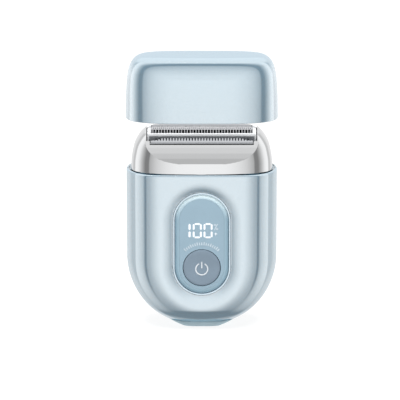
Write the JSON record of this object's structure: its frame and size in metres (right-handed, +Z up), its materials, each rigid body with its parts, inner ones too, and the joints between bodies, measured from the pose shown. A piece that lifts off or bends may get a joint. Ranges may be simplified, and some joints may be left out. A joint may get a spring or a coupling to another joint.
{
  "type": "electric shaver",
  "caption": "Palm-size electric foil shaver with a removable head, a reciprocating cutter, a display panel with a push button, and a lift-off travel cap.",
  "frame": {"origin": "centre of the foot's flat underside, which is the bottom centre of the object's box", "axes": "+Z up along the height, +X along the width to the viewer's right, -Y out of the display side, so +Y runs through the thin depth"},
  "size_m": [0.0604, 0.029, 0.1105],
  "materials": {
    "body_lacquer": "pearl pale blue lacquer on moulded ABS",
    "cap_lacquer": "pearl pale blue lacquer on moulded ABS",
    "foot_plastic": "fine satin moulded ABS",
    "chrome_plate": "bright chrome plate on ABS",
    "lens_plastic": "tinted polycarbonate, polished",
    "button_plastic": "satin painted ABS",
    "dark_plastic": "moulded black polycarbonate",
    "white_plastic": "moulded white acetal",
    "frame_plastic": "silver painted ABS",
    "board_laminate": "green solder mask on glass epoxy",
    "steel": "ground stainless steel",
    "nickel": "electroformed nickel",
    "cell_sleeve": "aluminium can in a blue shrink sleeve",
    "motor_steel": null,
    "rubber": "moulded silicone rubber"
  },
  "bodies": {
    "body": {"front_housing": "body_lacquer", "rear_housing": "body_lacquer", "base_foot": "foot_plastic", "bezel_ring": "chrome_plate", "display_lens": "lens_plastic", "panel_carrier": "dark_plastic", "display_module": "dark_plastic", "main_pcb": "board_laminate", "tact_switch": "steel", "usb_c_shell": "steel", "usb_c_tongue": "dark_plastic", "usb_board": "board_laminate", "battery_cell": "cell_sleeve", "battery_tab_left": "nickel", "battery_tab_right": "nickel", "battery_cradle": "white_plastic", "chassis_frame": "white_plastic", "motor_can": "motor_steel", "motor_end_cap": "dark_plastic", "head_seat": "dark_plastic", "deck_screw_left": "steel", "deck_screw_right": "steel", "drive_diaphragm": "rubber"},
    "head": {"head_frame": "chrome_plate", "trimmer_comb": "steel", "trimmer_base": "dark_plastic"},
    "cap": {"protective_cap": "cap_lacquer"},
    "foil_cassette": {"foil_frame": "frame_plastic", "shaving_foil": "nickel"},
    "drive": {"drive_bracket": "white_plastic", "blade_spring_left": "steel", "blade_spring_right": "steel"},
    "inner_blades": {"blade_carrier": "white_plastic", "inner_blade_block": "steel"},
    "trimmer": {"trimmer_blade": "steel"},
    "rotor": {"motor_shaft": "steel", "eccentric_cam": "dark_plastic"},
    "button": {"power_button": "button_plastic"},
    "plunger": {"switch_plunger": "dark_plastic"}
  },
  "joints": [
    {"name": "head_lift", "type": "slide", "parent": "body", "child": "head", "axis": [0, 0, 1], "range_m": [0, 0.012]},
    {"name": "cap_lift", "type": "slide", "parent": "head", "child": "cap", "axis": [0, 0, 1], "range_m": [-0.0205, 0.03]},
    {"name": "foil_float", "type": "slide", "parent": "head", "child": "foil_cassette", "axis": [0, 0, -1], "range_m": [0, 0.001], "stiffness_N_per_m": 400},
    {"name": "cutter_stroke", "type": "slide", "parent": "body", "child": "drive", "axis": [1, 0, 0], "range_m": [-0.0008, 0.0008]},
    {"name": "blade_float", "type": "slide", "parent": "drive", "child": "inner_blades", "axis": [0, 0, -1], "range_m": [0, 0.001], "stiffness_N_per_m": 400, "deforming": ["blade_spring_left", "blade_spring_right"]},
    {"name": "trimmer_stroke", "type": "slide", "parent": "head", "child": "trimmer", "axis": [1, 0, 0], "range_m": [-0.0008, 0.0008]},
    {"name": "motor_spin", "type": "hinge", "parent": "body", "child": "rotor", "pos_m": [0, 0.002, 0.05], "axis": [0, 0, 1], "continuous": true},
    {"name": "button_press", "type": "slide", "parent": "body", "child": "button", "axis": [0, 1, 0], "range_m": [0, 0.00035], "stiffness_N_per_m": 900},
    {"name": "plunger_travel", "type": "slide", "parent": "body", "child": "plunger", "axis": [0, 1, 0], "range_m": [0, 0.00035]}
  ],
  "couplings": [
    {"joint": "blade_float", "follows": "foil_float", "ratio": 1},
    {"joint": "trimmer_stroke", "follows": "cutter_stroke", "ratio": 1},
    {"joint": "plunger_travel", "follows": "button_press", "ratio": 1}
  ]
}
